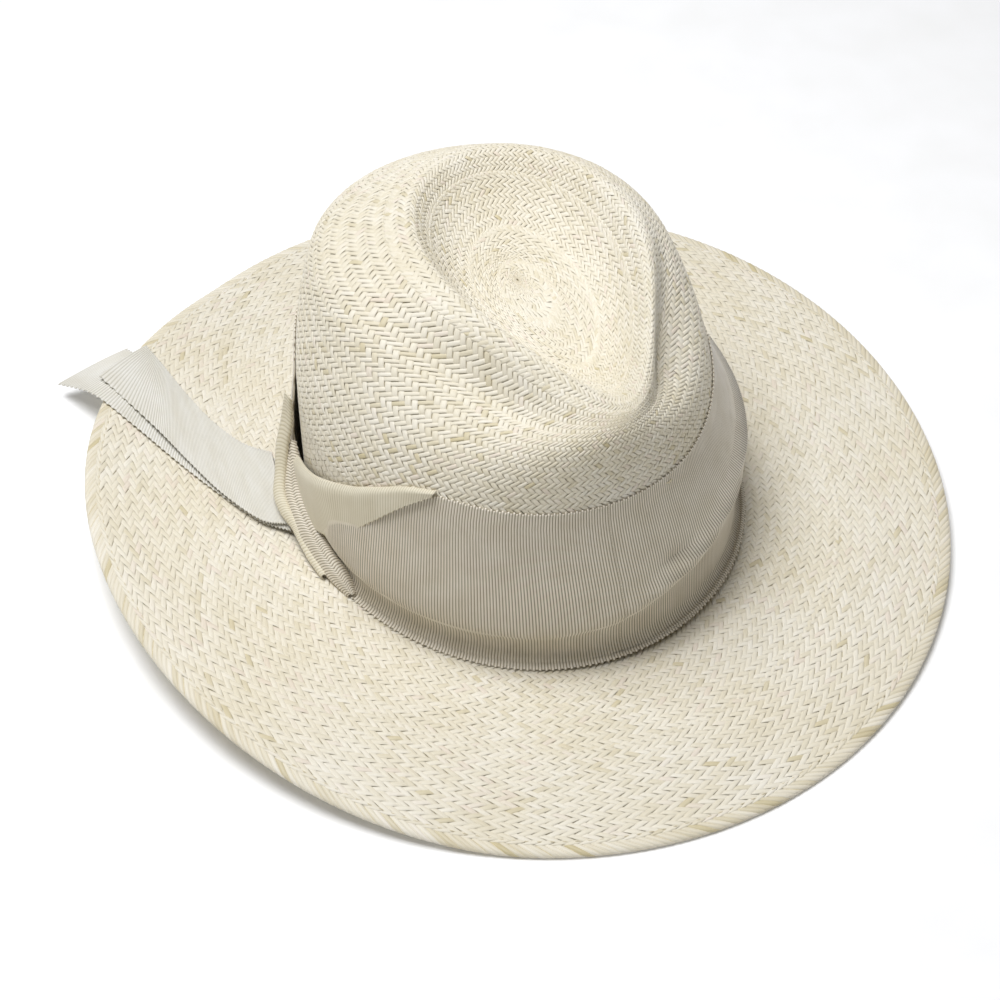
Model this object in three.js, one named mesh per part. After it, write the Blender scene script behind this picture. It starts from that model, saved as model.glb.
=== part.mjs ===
// A wide-brimmed straw hat: crown and brim woven in one piece, a wide ribbon band knotted at the
// wearer's right with two loose tails, and a sweatband inside. Millimetres, +Z up, the front of the
// hat towards -Y, the origin on the plane that the brim rests on, under the middle of the crown.
// Angles run round the hat from its front (0) over the wearer's left (90) to the back (180).
import * as THREE from 'three';
import { mergeVertices } from 'three/addons/utils/BufferGeometryUtils.js';

// Driving dimensions
const SEGMENTS = 48; // facets round the hat
const FOOT_HEIGHT = 3; // where the crown meets the brim, above the resting plane
const BRIM_LENGTH = 373; // front to back over the brim
const BRIM_WIDTH = 344; // side to side over the brim
const STRAW = 1.6; // woven straw, one layer
const HEM = 2.2; // straw turned under at the brim's edge
const HEM_SHARE = 0.06; // part of the brim's breadth that is turned under
const SLACK = 0.3; // gap between pieces that touch
const RIBBON = 0.8; // ribbon, as a solid
const RIBBON_HEIGHT = 72; // width of the band's ribbon
const SWEATBAND_HEIGHT = 36;
const SWEATBAND = 1;
const REED_RADIUS = 1;
const THREAD_RADIUS = 0.4;
const STITCH_RADIUS = 0.25; // thread of the brim's hem

// The brim's edge: its height over the crown's foot is a level and waves of one, two and three
// turns round the hat, and nowhere lower than where the brim is pressed flat on the table.
const EDGE_LEVEL = 3.5;
const EDGE_WAVES = [[1, 0.5, -5.5], [2, -7.5, 0.7], [3, 0.9, 2.2]]; // turns, cosine, sine
const EDGE_LOWEST = HEM - FOOT_HEIGHT;
const EDGE_EASE = 0.8;
const BRIM_CURVE = 1.5; // how late the brim rises between the crown and its edge

// The crown's rings from the foot to the top, through which its wall is drawn as a smooth spline.
// Reach to the front, back and sides; height at the front, back and sides; how much the front half
// narrows; how square the back half is; the shift to the wearer's left; and how much it is pressed
// in where fingers pinch it, at both sides of the front.
const CROWN = [
  { reach: [99, 99, 85], height: [0, 0, 0], narrow: 0, square: 0, shift: 0, pinch: 0 },
  { reach: [98.5, 98.5, 84.5], height: [7, 7, 7], narrow: 0, square: 0, shift: 0, pinch: 0 },
  { reach: [97, 97.5, 83.5], height: [35, 35, 35], narrow: 0, square: 0, shift: -1, pinch: 0 },
  { reach: [89.5, 96, 78.5], height: [72, 72.5, 71], narrow: 0, square: 0.04, shift: -5, pinch: 0.02 },
  { reach: [89, 100, 74], height: [92, 100, 94], narrow: 0.1, square: 0.1, shift: -1, pinch: 0.03 },
  { reach: [86, 85, 73], height: [103.5, 106, 108.5], narrow: 0.34, square: 0.11, shift: -2, pinch: 0.3 },
  { reach: [80, 70, 46], height: [105, 118, 119], narrow: 0.48, square: 0.02, shift: 9, pinch: 0.03 },
  { reach: [72, 64, 43], height: [107, 116.5, 117], narrow: 0.54, square: 0.08, shift: 8, pinch: 0 },
  { reach: [58, 52, 31], height: [96, 106, 98], narrow: 0.45, square: 0.05, shift: 8, pinch: 0 },
  { reach: [36, 28, 17], height: [94, 97, 95], narrow: 0.2, square: 0, shift: 7, pinch: 0 },
];
const PINCH_ANGLE = THREE.MathUtils.degToRad(52);
const PINCH_SPREAD = THREE.MathUtils.degToRad(27);
const PINCH_DROP = 36; // how far a full pinch would lower the wall
const CROWN_MIDDLE = new THREE.Vector3(5, 12, 95 + FOOT_HEIGHT);
const FOOT_FILLET = 5; // breadth of the curve from the brim into the crown

// The ribbon's knot and the tails that leave it
const KNOT_START = -117; // angles between which the band is gathered
const KNOT_MIDDLE = -100;
const KNOT_END = -46;
const GATHERED_HEIGHT = 34;
const HINGE = new THREE.Vector3(-90.5, 22, FOOT_HEIGHT + 12);
const HINGE_OUT = new THREE.Vector3(-0.984, 0.18, 0);
const ROOT_RISE = 8; // height of a tail over the brim at the hinge
const ROOT_REACH = 24; // how far out it comes down to the brim

const radians = THREE.MathUtils.degToRad;
const vector = (x, y, z) => new THREE.Vector3(x, y, z);

// ---------------------------------------------------------------- the straw's surface

function edgeRise(angle) {
  let rise = EDGE_LEVEL;
  for (const [turns, cosine, sine] of EDGE_WAVES) {
    rise += cosine * Math.cos(turns * angle) + sine * Math.sin(turns * angle);
  }
  const above = rise - EDGE_LOWEST;
  if (above < -EDGE_EASE) return EDGE_LOWEST;
  return above > EDGE_EASE ? rise : EDGE_LOWEST + (above + EDGE_EASE) ** 2 / (4 * EDGE_EASE);
}

function brimHeight(x, y) {
  const across = x / (BRIM_WIDTH / 2);
  const along = y / (BRIM_LENGTH / 2);
  const angle = Math.atan2(across, -along);
  const [front, , side] = CROWN[0].reach;
  const foot = 1 / Math.hypot(
    (Math.sin(angle) * BRIM_WIDTH) / (2 * side),
    (Math.cos(angle) * BRIM_LENGTH) / (2 * front),
  );
  const share = THREE.MathUtils.clamp((Math.hypot(across, along) - foot) / (1 - foot), 0, 1);
  const curve = Math.min(share / (1 - HEM_SHARE), 1) ** BRIM_CURVE;
  return FOOT_HEIGHT + edgeRise(angle) * curve;
}

function ringPoint({ reach, height, narrow, square, shift, pinch }, angle) {
  const [front, back, side] = reach;
  const cosine = Math.cos(angle);
  const frontShare = Math.max(cosine, 0) ** 2;
  const backShare = Math.max(-cosine, 0) ** 2;
  const fromFront = Math.acos(cosine);
  const pressed = pinch * Math.exp(-(((fromFront - PINCH_ANGLE) / PINCH_SPREAD) ** 2));
  const waist = (1 - narrow * ((1 + cosine) / 2) ** 2) * (1 + square * backShare) * (1 - pressed);
  return vector(
    shift + side * Math.sin(angle) * waist,
    (back - front) / 2 - ((front + back) / 2) * cosine,
    FOOT_HEIGHT + height[0] * frontShare + height[1] * backShare + height[2] * Math.sin(angle) ** 2
      - PINCH_DROP * pressed,
  );
}

function brimPoint(angle, share) {
  const foot = ringPoint(CROWN[0], angle);
  const edge = vector((BRIM_WIDTH / 2) * Math.sin(angle), (-BRIM_LENGTH / 2) * Math.cos(angle), 0);
  const point = foot.lerp(edge, share);
  return point.setZ(brimHeight(point.x, point.y));
}

// The crown's wall: step 0 is on the brim just outside the foot, and the last step is the middle.
const CROWN_STEPS = CROWN.length + 1;

function crownPoint(angle, step) {
  const fillet = FOOT_FILLET / ((BRIM_LENGTH - 2 * CROWN[0].reach[0]) / 2);
  const rings = [brimPoint(angle, fillet), ...CROWN.map((ring) => ringPoint(ring, angle)), CROWN_MIDDLE];
  const last = rings.length - 1;
  const beyond = (end, next) => end.clone().multiplyScalar(2).sub(next);
  const control = [beyond(rings[0], rings[1]), ...rings, beyond(rings[last], rings[last - 1])];
  const start = Math.min(Math.floor(step), last - 1);
  const t = step - start;
  const weights = [(1 - t) ** 3, 3 * t ** 3 - 6 * t ** 2 + 4, -3 * t ** 3 + 3 * t ** 2 + 3 * t + 1, t ** 3];
  const point = vector(0, 0, 0);
  weights.forEach((weight, i) => point.addScaledVector(control[start + i], weight / 6));
  return point;
}

function crownNormal(angle, step) {
  if (step > CROWN_STEPS - 0.01) return vector(0, 0, 1);
  const small = 0.002;
  const upper = Math.min(step + small, CROWN_STEPS);
  const lower = Math.max(step - small, 0);
  const along = crownPoint(angle + small, step).sub(crownPoint(angle - small, step));
  const up = crownPoint(angle, upper).sub(crownPoint(angle, lower));
  return along.cross(up).normalize();
}

const offCrown = (angle, step, distance) => {
  const point = crownPoint(angle, step);
  return point.addScaledVector(crownNormal(angle, step), distance);
};

// The wall's step at a height over the foot, found by halving between the foot and the shoulder.
function wallStep(angle, height) {
  let low = 1;
  let high = 6;
  for (let i = 0; i < 30; i++) {
    const middle = (low + high) / 2;
    if (crownPoint(angle, middle).z < FOOT_HEIGHT + height) low = middle;
    else high = middle;
  }
  return low;
}

const offWall = (angle, height, distance) => offCrown(angle, wallStep(angle, height), distance);

// ---------------------------------------------------------------- solids from sections

const turns = (count = SEGMENTS) => Array.from({ length: count }, (_, i) => (i / count) * 2 * Math.PI);
const spread = (from, to, count) => Array.from({ length: count }, (_, i) => from + ((to - from) * i) / (count - 1));

// A section is a loop of points: its first half along one face, its second half back along the other.
function sheetSection(face, back) {
  return [...face, ...back.slice().reverse()];
}

function endCap(first, count, flip) {
  const triangles = [];
  for (let i = 0; i < count / 2 - 1; i++) {
    const [a, b, c, d] = [first + i, first + i + 1, first + count - 2 - i, first + count - 1 - i];
    triangles.push(flip ? [a, b, c] : [a, c, b]);
    triangles.push(flip ? [a, c, d] : [a, d, c]);
  }
  return triangles;
}

function signedVolume(position, triangles) {
  const corner = triangles.map((ids) => ids.map((id) => vector(0, 0, 0).fromBufferAttribute(position, id)));
  return corner.reduce((sum, [a, b, c]) => sum + a.dot(b.cross(c)), 0);
}

function loft(sections, closed) {
  const count = sections[0].length;
  const triangles = [];
  for (let i = 0; i < sections.length - (closed ? 0 : 1); i++) {
    const here = i * count;
    const next = ((i + 1) % sections.length) * count;
    for (let j = 0; j < count; j++) {
      const k = (j + 1) % count;
      triangles.push([here + j, here + k, next + k], [here + j, next + k, next + j]);
    }
  }
  if (!closed) {
    triangles.push(...endCap(0, count, false), ...endCap((sections.length - 1) * count, count, true));
  }
  let geometry = new THREE.BufferGeometry();
  geometry.setAttribute('position', new THREE.Float32BufferAttribute(sections.flat().flatMap((p) => p.toArray()), 3));
  geometry.setIndex(triangles.flat());
  geometry = mergeVertices(geometry, 1e-3);
  const index = Array.from(geometry.index.array);
  let whole = [];
  for (let i = 0; i < index.length; i += 3) whole.push(index.slice(i, i + 3));
  whole = whole.filter(([a, b, c]) => a !== b && b !== c && c !== a);
  if (signedVolume(geometry.attributes.position, whole) < 0) whole = whole.map(([a, b, c]) => [a, c, b]);
  geometry.setIndex(whole.flat());
  geometry.computeVertexNormals();
  return geometry;
}

// A thread or cord of round section along a line; closed joins its two ends.
function cordAlong(points, radius, closed, sides = 6) {
  const sections = points.map((point, i) => {
    const before = points[closed ? (i + points.length - 1) % points.length : Math.max(i - 1, 0)];
    const after = points[closed ? (i + 1) % points.length : Math.min(i + 1, points.length - 1)];
    const ahead = after.clone().sub(before).normalize();
    const side = vector(0, 0, 1).cross(ahead).normalize();
    const up = ahead.clone().cross(side);
    return turns(sides).map((a) => point.clone()
      .addScaledVector(side, radius * Math.cos(a))
      .addScaledVector(up, radius * Math.sin(a)));
  });
  return loft(sections, closed);
}

// ---------------------------------------------------------------- the pieces

function strawBody() {
  const brimShares = [1, 1 - HEM_SHARE / 2, 1 - HEM_SHARE, 0.88, 0.75, 0.6, 0.44, 0.28, 0.14];
  const steps = spread(0, CROWN_STEPS, 2 * CROWN_STEPS + 1);
  const sections = turns().map((angle) => {
    const top = brimShares.map((share) => brimPoint(angle, share));
    const under = brimShares.map((share, i) => {
      const point = brimPoint(angle, share);
      return point.setZ(Math.max(point.z - (i < 3 ? HEM : STRAW), 0));
    });
    const outer = steps.map((step) => crownPoint(angle, step));
    const inner = steps.map((step) => offCrown(angle, step, -STRAW));
    return sheetSection([...top, ...outer], [...under, ...inner]);
  });
  return loft(sections, true);
}

function brimStitch() {
  const share = 1 - HEM_SHARE * 1.05;
  const route = turns().map((angle) => {
    const point = brimPoint(angle, share);
    return point.setZ(point.z + STITCH_RADIUS + SLACK);
  });
  return cordAlong(route, STITCH_RADIUS, true, 4);
}

// A band round the wall: heights over the foot, and how far its two faces stand off the straw.
function wallBand(heightsAt, near, far) {
  const sections = turns().map((angle) => {
    const heights = heightsAt(angle);
    return sheetSection(
      heights.map((height) => offWall(angle, height, near)),
      heights.map((height) => offWall(angle, height, far)),
    );
  });
  return loft(sections, true);
}

// The band's upper edge dips where the ribbon is gathered into the knot.
function bandTop(angle) {
  let degrees = THREE.MathUtils.radToDeg(angle);
  if (degrees > 180) degrees -= 360;
  if (degrees <= KNOT_START || degrees >= KNOT_END) return RIBBON_HEIGHT;
  const share = degrees < KNOT_MIDDLE
    ? (degrees - KNOT_START) / (KNOT_MIDDLE - KNOT_START)
    : (KNOT_END - degrees) / (KNOT_END - KNOT_MIDDLE);
  return THREE.MathUtils.lerp(RIBBON_HEIGHT, GATHERED_HEIGHT, share);
}

const BAND_NEAR = SLACK;
const BAND_FAR = SLACK + RIBBON;
const ribbonBand = () => wallBand((angle) => spread(3, bandTop(angle), 6), BAND_NEAR, BAND_FAR);

// A patch of ribbon laid on the wall between two angles, with its lower and upper edge as functions.
function wallPatch(from, to, count, lower, upper, near, far) {
  const sections = spread(0, 1, count).map((share) => {
    const angle = radians(THREE.MathUtils.lerp(from, to, share));
    const heights = spread(lower(share), upper(share), 4);
    return sheetSection(
      heights.map((height) => offWall(angle, height, near)),
      heights.map((height) => offWall(angle, height, far)),
    );
  });
  return loft(sections, false);
}

function ribbonFold() {
  const lower = (share) => THREE.MathUtils.lerp(71, 17, share ** 0.85);
  const upper = (share) => THREE.MathUtils.lerp(72.5, GATHERED_HEIGHT + 1, share);
  return wallPatch(-47, -97, 12, lower, upper, BAND_FAR + SLACK, BAND_FAR + SLACK + RIBBON);
}

// The strap runs down across the band; its section is a flat strip square to its route.
function strapAlong(start, end, count, breadth, near, far) {
  const sections = spread(0, 1, count).map((share) => {
    const angle = radians(THREE.MathUtils.lerp(start[0], end[0], share));
    const height = THREE.MathUtils.lerp(start[1], end[1], share);
    const half = (breadth / 2) * Math.min(1, 0.35 + 3 * Math.min(share, 1 - share));
    const shifts = spread(-half, half, 3);
    const at = (shift, distance) => offWall(angle + (shift * 0.7) / 88, height + shift * 0.7, distance);
    return sheetSection(shifts.map((shift) => at(shift, near)), shifts.map((shift) => at(shift, far)));
  });
  return loft(sections, false);
}

const STRAP_NEAR = BAND_FAR + RIBBON + 2 * SLACK;
const knotStrap = () => strapAlong([-103, 44], [-72, 6], 12, 9, STRAP_NEAR, STRAP_NEAR + 1.8);
const knotLoop = () => strapAlong([-113, 44], [-97, 8], 10, 5, BAND_FAR + SLACK, BAND_FAR + SLACK + 1.8);

// The tails leave the knot a little above the brim and come down to it away from the crown.
function tailHeight(point, level) {
  const out = point.clone().sub(HINGE).setZ(0).dot(HINGE_OUT);
  const rise = ROOT_RISE * (1 - THREE.MathUtils.clamp(out / ROOT_REACH, 0, 1)) ** 2;
  return brimHeight(point.x, point.y) + rise + level;
}

// A tail's two long edges run from the knot to its cut end, seen from above.
function ribbonTail(inner, outer, level) {
  const [innerEdge, outerEdge] = [inner, outer].map((route) => new THREE.CatmullRomCurve3(route));
  const sections = spread(0, 1, 15).map((share) => {
    const line = spread(0, 1, 4).map((across) => innerEdge.getPoint(share).lerp(outerEdge.getPoint(share), across));
    const lifted = (lift) => line.map((point) => point.clone().setZ(tailHeight(point, level) + lift));
    return sheetSection(lifted(RIBBON), lifted(0));
  });
  return loft(sections, false);
}

const LOWER_TAIL_LEVEL = 2 * (STITCH_RADIUS + SLACK) + SLACK; // clear of the hem's thread
const UPPER_TAIL_LEVEL = LOWER_TAIL_LEVEL + RIBBON + 2 * SLACK;

const tailLower = () => ribbonTail(
  [vector(-93.5, 31, 0), vector(-106, 80, 0), vector(-124, 122, 0)],
  [vector(-99, 3, 0), vector(-122, 58, 0), vector(-161, 119, 0)],
  LOWER_TAIL_LEVEL,
);

const tailUpper = () => ribbonTail(
  [vector(-93, 35, 0), vector(-103, 80, 0), vector(-117, 128, 0)],
  [vector(-98, 7, 0), vector(-116, 60, 0), vector(-140, 118, 0)],
  UPPER_TAIL_LEVEL,
);

// A short stitch that holds the band to the straw, just under its upper edge.
const TACK_ANGLES = [20, 75, 130, 185, 235];

function bandTack(degrees) {
  const distance = BAND_FAR + SLACK + THREAD_RADIUS;
  const route = [-1.6, 1.6].map((side) => offWall(radians(degrees) + side / 90, RIBBON_HEIGHT - 3, distance));
  return cordAlong(route, THREAD_RADIUS, false);
}

// Inside the crown, distances are measured inwards from the straw's outer face.
const INSIDE = STRAW + 0.5;
const REED_HEIGHT = 2.6;
const SWEATBAND_FOOT = REED_HEIGHT + REED_RADIUS + SLACK;
const SWEATBAND_TOP = SWEATBAND_FOOT + SWEATBAND_HEIGHT;

const sweatband = () => wallBand(
  () => spread(SWEATBAND_FOOT, SWEATBAND_TOP, 4),
  -INSIDE,
  -INSIDE - SWEATBAND,
);

const ringInside = (height, inwards, radius) => cordAlong(
  turns().map((angle) => offWall(angle, height, -inwards)),
  radius,
  true,
);

const sweatbandReed = () => ringInside(REED_HEIGHT, INSIDE + REED_RADIUS, REED_RADIUS);
const sweatbandStitch = () => ringInside(
  SWEATBAND_FOOT + 2.5,
  INSIDE + SWEATBAND + SLACK + THREAD_RADIUS,
  THREAD_RADIUS,
);

// The bow at the back of the sweatband: a flat figure of eight, sewn over the band's joint.
function sweatbandBow() {
  const near = -(INSIDE + SWEATBAND + 2 * SLACK + 2 * THREAD_RADIUS);
  const sections = spread(-1, 1, 13).map((share) => {
    const angle = Math.PI + (share * 11) / 92;
    const half = 1.6 + 3.4 * Math.abs(Math.sin(share * Math.PI * 0.62));
    const heights = spread(10 - half, 10 + half, 3);
    return sheetSection(
      heights.map((height) => offWall(angle, height, near)),
      heights.map((height) => offWall(angle, height, near - 1.2)),
    );
  });
  return loft(sections, false);
}

// A blank size tab, its foot caught behind the sweatband and its face turned down over it.
function sizeTab() {
  const near = -(INSIDE + SWEATBAND + SLACK);
  const sections = spread(-1, 1, 4).map((share) => {
    const angle = Math.PI - 0.42 + (share * 9) / 92;
    const heights = spread(SWEATBAND_TOP - 13, SWEATBAND_TOP, 3);
    return sheetSection(
      heights.map((height) => offWall(angle, height, near)),
      heights.map((height) => offWall(angle, height, near - 0.5)),
    );
  });
  return loft(sections, false);
}

// ---------------------------------------------------------------- the hat

const STRAW_FINISH = { color: 0xe9e2cd, roughness: 0.55, metalness: 0 };
const GROSGRAIN_FINISH = { color: 0xd9d3c3, roughness: 0.6, metalness: 0 };
const TAIL_FINISH = { color: 0xe6e4de, roughness: 0.6, metalness: 0 };
const THREAD_FINISH = { color: 0xd8ceb4, roughness: 0.8, metalness: 0 };
const LINING_FINISH = { color: 0xd8cdb6, roughness: 0.7, metalness: 0 };

function piece(name, geometry, finish) {
  const mesh = new THREE.Mesh(geometry, new THREE.MeshStandardMaterial(finish));
  mesh.name = name;
  return mesh;
}

const hat = new THREE.Group();
hat.add(
  piece('straw_body', strawBody(), STRAW_FINISH),
  piece('brim_stitch', brimStitch(), THREAD_FINISH),
  piece('sweatband', sweatband(), LINING_FINISH),
  piece('sweatband_reed', sweatbandReed(), LINING_FINISH),
  piece('sweatband_stitch', sweatbandStitch(), THREAD_FINISH),
  piece('sweatband_bow', sweatbandBow(), GROSGRAIN_FINISH),
  piece('size_tab', sizeTab(), TAIL_FINISH),
);

const ribbon = new THREE.Group();
ribbon.add(
  piece('ribbon_band', ribbonBand(), GROSGRAIN_FINISH),
  piece('ribbon_fold', ribbonFold(), GROSGRAIN_FINISH),
  piece('knot_strap', knotStrap(), GROSGRAIN_FINISH),
  piece('knot_loop', knotLoop(), GROSGRAIN_FINISH),
  ...TACK_ANGLES.map((degrees, i) => piece(`band_tack_${i + 1}`, bandTack(degrees), THREAD_FINISH)),
);
hat.add(ribbon);

// The tails turn up about a line along the crown's side, so each is placed on that hinge.
function hinged(name, geometry) {
  const mesh = piece(name, geometry.translate(-HINGE.x, -HINGE.y, -HINGE.z), TAIL_FINISH);
  mesh.position.copy(HINGE);
  mesh.userData.hingeOut = HINGE_OUT.toArray();
  return mesh;
}
hat.add(hinged('tail_lower', tailLower()), hinged('tail_upper', tailUpper()));

export default hat;
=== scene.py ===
import math
import bpy
import numpy as np
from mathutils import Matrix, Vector


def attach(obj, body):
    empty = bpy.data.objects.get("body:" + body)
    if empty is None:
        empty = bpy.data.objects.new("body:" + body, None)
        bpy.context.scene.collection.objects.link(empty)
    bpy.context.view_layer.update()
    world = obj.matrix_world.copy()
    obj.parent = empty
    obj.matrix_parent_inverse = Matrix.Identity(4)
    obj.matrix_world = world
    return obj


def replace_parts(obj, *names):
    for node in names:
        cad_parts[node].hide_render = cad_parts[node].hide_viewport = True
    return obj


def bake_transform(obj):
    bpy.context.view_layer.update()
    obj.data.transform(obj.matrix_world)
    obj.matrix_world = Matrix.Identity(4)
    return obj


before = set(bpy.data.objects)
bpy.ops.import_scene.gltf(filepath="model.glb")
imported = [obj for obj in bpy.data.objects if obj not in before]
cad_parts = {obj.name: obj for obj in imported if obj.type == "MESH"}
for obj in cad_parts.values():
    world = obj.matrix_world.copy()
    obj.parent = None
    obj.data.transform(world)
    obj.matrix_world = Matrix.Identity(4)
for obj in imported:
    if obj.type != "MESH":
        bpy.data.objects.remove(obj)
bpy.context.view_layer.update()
collection = bpy.context.scene.collection
rng = np.random.default_rng(12)

# ---------------------------------------------------------------- camera, floor and light
# A long lens looks down on the hat from its front right, as a shop picture does. The floor is a
# plain white sweep, and the light is a big soft box overhead, a little to the left, with a weak fill.
VIEW_AZIMUTH = math.radians(-22.94)
VIEW_ELEVATION = math.radians(45.46)
VIEW_DISTANCE = 0.8315
VIEW_TARGET = Vector((-0.0103, -0.0073, 0.0021))

camera = bpy.data.objects.new("camera", bpy.data.cameras.new("camera"))
camera.data.lens = 73.5
camera.data.sensor_width = 36
view_back = Vector((
    math.sin(VIEW_AZIMUTH) * math.cos(VIEW_ELEVATION),
    -math.cos(VIEW_AZIMUTH) * math.cos(VIEW_ELEVATION),
    math.sin(VIEW_ELEVATION),
))
camera.location = VIEW_TARGET + VIEW_DISTANCE * view_back
camera.rotation_euler = (-view_back).to_track_quat("-Z", "Y").to_euler()
collection.objects.link(camera)
bpy.context.scene.camera = camera
bpy.context.scene.view_settings.view_transform = "Standard"


def linear(colour):
    """An sRGB hex colour as linear red, green, blue and alpha."""
    channels = [int(colour[i : i + 2], 16) / 255 for i in (1, 3, 5)]
    return [c / 12.92 if c <= 0.04045 else ((c + 0.055) / 1.055) ** 2.4 for c in channels] + [1]


def add(tree, kind, settings=None, links=None):
    """Adds a shader node, sets its properties and sockets by name, and links its inputs."""
    made = tree.nodes.new("ShaderNode" + kind)
    for name, value in (settings or {}).items():
        if isinstance(name, str) and hasattr(made, name):
            setattr(made, name, value)
        else:
            made.inputs[name].default_value = value
    for name, source in (links or {}).items():
        tree.links.new(source, made.inputs[name])
    return made


def new_material(name, settings):
    """A material with one principled shader, and the tree it is built in."""
    material = bpy.data.materials.new(name)
    material.use_nodes = True
    tree = material.node_tree
    tree.nodes.clear()
    shader = add(tree, "BsdfPrincipled", settings)
    add(tree, "OutputMaterial", links={"Surface": shader.outputs["BSDF"]})
    return material, tree, shader


def ramp(tree, factor, stops):
    """A colour ramp through (place, hex colour) stops."""
    made = add(tree, "ValToRGB", links={"Fac": factor})
    points = made.color_ramp.elements
    while len(points) < len(stops):
        points.new(0.5)
    for point, (place, colour) in zip(points, stops):
        point.position = place
        point.color = linear(colour)
    return made.outputs["Color"]


def studio_paper():
    """Seamless white paper, with the faint mottling of its pulp."""
    material, tree, shader = new_material("studio_paper", {
        "Roughness": 0.9, "Specular IOR Level": 0.2,
        "Emission Color": (1, 1, 1, 1), "Emission Strength": 0.06,
    })
    pulp = add(tree, "TexNoise", {"Scale": 300.0, "Detail": 2.0})
    tree.links.new(
        ramp(tree, pulp.outputs["Fac"], [(0.3, "#fbfbfa"), (0.7, "#ffffff")]),
        shader.inputs["Base Color"],
    )
    return material


FLOOR_REACH = 4.0
FLOOR_LEVEL = -0.0002  # a hair under the hat
FLOOR_CORNERS = [(-1, -1), (1, -1), (1, 1), (-1, 1)]
floor_mesh = bpy.data.meshes.new("floor")
floor_mesh.from_pydata(
    [(x * FLOOR_REACH, y * FLOOR_REACH, FLOOR_LEVEL) for x, y in FLOOR_CORNERS], [], [(0, 1, 2, 3)]
)
floor_mesh.materials.append(studio_paper())
floor = bpy.data.objects.new("floor", floor_mesh)
collection.objects.link(floor)

world = bpy.data.worlds.new("studio")
world.use_nodes = True
world.node_tree.nodes["Background"].inputs["Color"].default_value = linear("#fbfaf8")
world.node_tree.nodes["Background"].inputs["Strength"].default_value = 0.2
bpy.context.scene.world = world


def soft_box(name, place, size, watts, colour="#ffffff"):
    """A square soft box aimed at the middle of the table."""
    lamp = bpy.data.objects.new(name, bpy.data.lights.new(name, "AREA"))
    lamp.data.size = size
    lamp.data.energy = watts
    lamp.data.color = linear(colour)[:3]
    lamp.location = place
    lamp.rotation_euler = (-Vector(place)).to_track_quat("-Z", "Y").to_euler()
    collection.objects.link(lamp)


soft_box("key_light", (-0.26, 0.12, 1.3), 0.75, 17.6, "#fbfcff")
soft_box("fill_light", (0.2, -1.2, 0.9), 1.0, 0.3)

# ---------------------------------------------------------------- the woven straw
# Crown and brim are one cloth of split palm straw, woven by hand in a two-over, two-under twill whose
# straws run slantwise, with more straws laid in from ring to ring. It was blocked to shape while damp.
MM = 0.001
FOOT = 3.0  # where the crown meets the brim, above the table
HALF_LENGTH = 373 / 2
HALF_WIDTH = 344 / 2
HEM = 2.2  # straw turned under at the edge
HEM_SHARE = 0.06
EDGE_LEVEL = 3.5
EDGE_WAVES = [(1, 0.5, -5.5), (2, -7.5, 0.7), (3, 0.9, 2.2)]  # turns, cosine, sine
EDGE_LOWEST = HEM - FOOT
EDGE_EASE = 0.8
BRIM_CURVE = 1.5
FOOT_FILLET = 5.0
# Crown rings, foot to top: reach front, back, side; height front, back, side; narrow, square, shift, pinch
CROWN = np.array([
    (99, 99, 85, 0, 0, 0, 0, 0, 0, 0),
    (98.5, 98.5, 84.5, 7, 7, 7, 0, 0, 0, 0),
    (97, 97.5, 83.5, 35, 35, 35, 0, 0, -1, 0),
    (89.5, 96, 78.5, 72, 72.5, 71, 0, 0.04, -5, 0.02),
    (89, 100, 74, 92, 100, 94, 0.1, 0.1, -1, 0.03),
    (86, 85, 73, 103.5, 106, 108.5, 0.34, 0.11, -2, 0.3),
    (80, 70, 46, 105, 118, 119, 0.48, 0.02, 9, 0.03),
    (72, 64, 43, 107, 116.5, 117, 0.54, 0.08, 8, 0),
    (58, 52, 31, 96, 106, 98, 0.45, 0.05, 8, 0),
    (36, 28, 17, 94, 97, 95, 0.2, 0, 7, 0),
])
PINCH_ANGLE, PINCH_SPREAD = math.radians(52), math.radians(27)  # where fingers press the crown in
PINCH_DROP = 36.0  # how far a pinch of 1 would lower its ring
# The furrow that the fingertips leave: where it is up the crown and round it, and how far it spreads
FURROW_WAY, FURROW_BREADTH = 6.35, 0.42
FURROW_ANGLE, FURROW_SPREAD = math.radians(60), math.radians(30)
FURROW_DEPTH = 5.0
CROWN_MIDDLE = np.array((5, 12, 95 + FOOT))
TOP = len(CROWN) + 1  # the way's value in the middle of the crown


def edge_rise(angle):
    """How high the brim's waving edge is over the foot; it never dips below the table."""
    rise = EDGE_LEVEL + sum(c * np.cos(n * angle) + s * np.sin(n * angle) for n, c, s in EDGE_WAVES)
    above = rise - EDGE_LOWEST
    eased = EDGE_LOWEST + (above + EDGE_EASE) ** 2 / (4 * EDGE_EASE)
    return np.where(above < -EDGE_EASE, EDGE_LOWEST, np.where(above > EDGE_EASE, rise, eased))


def brim_height(x, y):
    """The brim's upper face over the table."""
    across, along = x / HALF_WIDTH, y / HALF_LENGTH
    angle = np.arctan2(across, -along)
    front, side = CROWN[0, 0], CROWN[0, 2]
    foot = 1 / np.hypot(np.sin(angle) * HALF_WIDTH / side, np.cos(angle) * HALF_LENGTH / front)
    share = np.clip((np.hypot(across, along) - foot) / (1 - foot), 0, 1)
    return FOOT + edge_rise(angle) * np.minimum(share / (1 - HEM_SHARE), 1) ** BRIM_CURVE


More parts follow.
